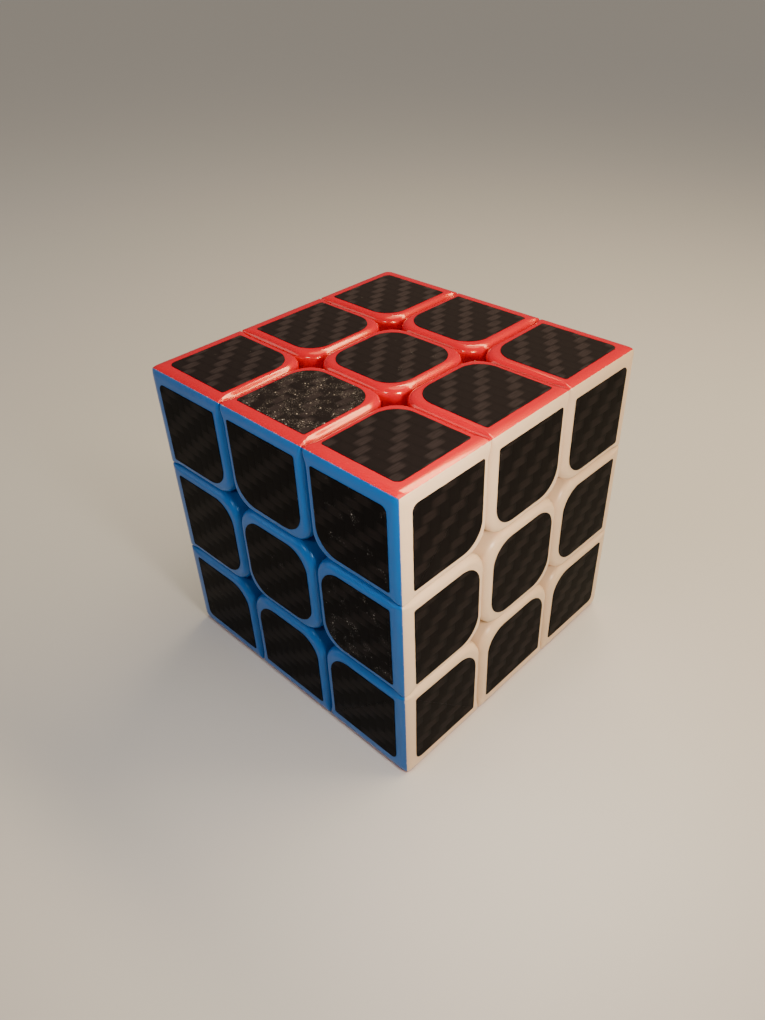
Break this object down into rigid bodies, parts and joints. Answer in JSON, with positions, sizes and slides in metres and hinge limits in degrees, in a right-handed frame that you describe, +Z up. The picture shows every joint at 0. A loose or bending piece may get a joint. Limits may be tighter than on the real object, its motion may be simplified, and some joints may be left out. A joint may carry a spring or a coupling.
{
  "type": "twisty puzzle cube",
  "caption": "Palm-sized twisty puzzle cube with rounded coloured plastic pieces, dark weave-pattern stickers and turning layers on a sprung core.",
  "frame": {"origin": "middle of the face that the cube rests on", "axes": "+Z up out of the red face, -Y out of the blue front face, +X out of the white right face"},
  "size_m": [0.056, 0.056, 0.056],
  "materials": {
    "red_plastic": "gloss",
    "orange_plastic": "gloss",
    "blue_plastic": "gloss",
    "green_plastic": "gloss",
    "white_plastic": "gloss",
    "yellow_plastic": "gloss",
    "inner_plastic": "satin",
    "core_plastic": "satin",
    "screw_steel": "satin",
    "washer_steel": "satin",
    "spring_steel": "satin",
    "carbon_sticker": "satin"
  },
  "bodies": {
    "middle_layer": {"core": "core_plastic", "screw_top": "screw_steel", "screw_bottom": "screw_steel", "screw_front": "screw_steel", "screw_back": "screw_steel", "screw_left": "screw_steel", "screw_right": "screw_steel", "washer_top": "washer_steel", "washer_bottom": "washer_steel", "washer_front": "washer_steel", "washer_back": "washer_steel", "washer_left": "washer_steel", "washer_right": "washer_steel", "spring_top": "spring_steel", "spring_bottom": "spring_steel", "spring_front": "spring_steel", "spring_back": "spring_steel", "spring_left": "spring_steel", "spring_right": "spring_steel", "edge_front_left": "blue_plastic", "edge_front_right": "blue_plastic", "edge_back_left": "green_plastic", "edge_back_right": "green_plastic"},
    "upper_layer": {"edge_top_front": "red_plastic", "edge_top_right": "red_plastic", "edge_top_back": "red_plastic", "edge_top_left": "red_plastic", "corner_top_front_left_cap": "red_plastic", "corner_top_front_left_foot": "inner_plastic", "corner_top_front_right_cap": "red_plastic", "corner_top_front_right_foot": "inner_plastic", "corner_top_back_left_cap": "red_plastic", "corner_top_back_left_foot": "inner_plastic", "corner_top_back_right_cap": "red_plastic", "corner_top_back_right_foot": "inner_plastic"},
    "lower_layer": {"edge_bottom_front": "orange_plastic", "edge_bottom_right": "orange_plastic", "edge_bottom_back": "orange_plastic", "edge_bottom_left": "orange_plastic", "corner_bottom_front_left_cap": "orange_plastic", "corner_bottom_front_left_foot": "inner_plastic", "corner_bottom_front_right_cap": "orange_plastic", "corner_bottom_front_right_foot": "inner_plastic", "corner_bottom_back_left_cap": "orange_plastic", "corner_bottom_back_left_foot": "inner_plastic", "corner_bottom_back_right_cap": "orange_plastic", "corner_bottom_back_right_foot": "inner_plastic"},
    "centre_top": {"centre_top_base": "red_plastic"},
    "centre_top_cap": {"centre_top_cap": "red_plastic"},
    "centre_bottom": {"centre_bottom_base": "orange_plastic"},
    "centre_bottom_cap": {"centre_bottom_cap": "orange_plastic"},
    "centre_front": {"centre_front_base": "blue_plastic"},
    "centre_front_cap": {"centre_front_cap": "blue_plastic"},
    "centre_back": {"centre_back_base": "green_plastic"},
    "centre_back_cap": {"centre_back_cap": "green_plastic"},
    "centre_left": {"centre_left_base": "yellow_plastic"},
    "centre_left_cap": {"centre_left_cap": "yellow_plastic"},
    "centre_right": {"centre_right_base": "white_plastic"},
    "centre_right_cap": {"centre_right_cap": "white_plastic"}
  },
  "joints": [
    {"name": "upper_layer_turn", "type": "hinge", "parent": "middle_layer", "child": "upper_layer", "pos_m": [0, 0, 0.028], "axis": [0, 0, 1], "continuous": true},
    {"name": "lower_layer_turn", "type": "hinge", "parent": "middle_layer", "child": "lower_layer", "pos_m": [0, 0, 0.028], "axis": [0, 0, -1], "continuous": true},
    {"name": "centre_top_float", "type": "slide", "parent": "upper_layer", "child": "centre_top", "axis": [0, 0, 1], "range_m": [0, 0.001], "stiffness_N_per_m": 800, "deforming": ["spring_top"]},
    {"name": "centre_top_cap_pull", "type": "slide", "parent": "centre_top", "child": "centre_top_cap", "axis": [0, 0, 1], "range_m": [0, 0.012]},
    {"name": "centre_bottom_float", "type": "slide", "parent": "lower_layer", "child": "centre_bottom", "axis": [0, 0, -1], "range_m": [0, 0.001], "stiffness_N_per_m": 800, "deforming": ["spring_bottom"]},
    {"name": "centre_bottom_cap_pull", "type": "slide", "parent": "centre_bottom", "child": "centre_bottom_cap", "axis": [0, 0, -1], "range_m": [0, 0.012]},
    {"name": "centre_front_float", "type": "slide", "parent": "middle_layer", "child": "centre_front", "axis": [0, -1, 0], "range_m": [0, 0.001], "stiffness_N_per_m": 800, "deforming": ["spring_front"]},
    {"name": "centre_front_cap_pull", "type": "slide", "parent": "centre_front", "child": "centre_front_cap", "axis": [0, -1, 0], "range_m": [0, 0.012]},
    {"name": "centre_back_float", "type": "slide", "parent": "middle_layer", "child": "centre_back", "axis": [0, 1, 0], "range_m": [0, 0.001], "stiffness_N_per_m": 800, "deforming": ["spring_back"]},
    {"name": "centre_back_cap_pull", "type": "slide", "parent": "centre_back", "child": "centre_back_cap", "axis": [0, 1, 0], "range_m": [0, 0.012]},
    {"name": "centre_left_float", "type": "slide", "parent": "middle_layer", "child": "centre_left", "axis": [-1, 0, 0], "range_m": [0, 0.001], "stiffness_N_per_m": 800, "deforming": ["spring_left"]},
    {"name": "centre_left_cap_pull", "type": "slide", "parent": "centre_left", "child": "centre_left_cap", "axis": [-1, 0, 0], "range_m": [0, 0.012]},
    {"name": "centre_right_float", "type": "slide", "parent": "middle_layer", "child": "centre_right", "axis": [1, 0, 0], "range_m": [0, 0.001], "stiffness_N_per_m": 800, "deforming": ["spring_right"]},
    {"name": "centre_right_cap_pull", "type": "slide", "parent": "centre_right", "child": "centre_right_cap", "axis": [1, 0, 0], "range_m": [0, 0.012]}
  ]
}
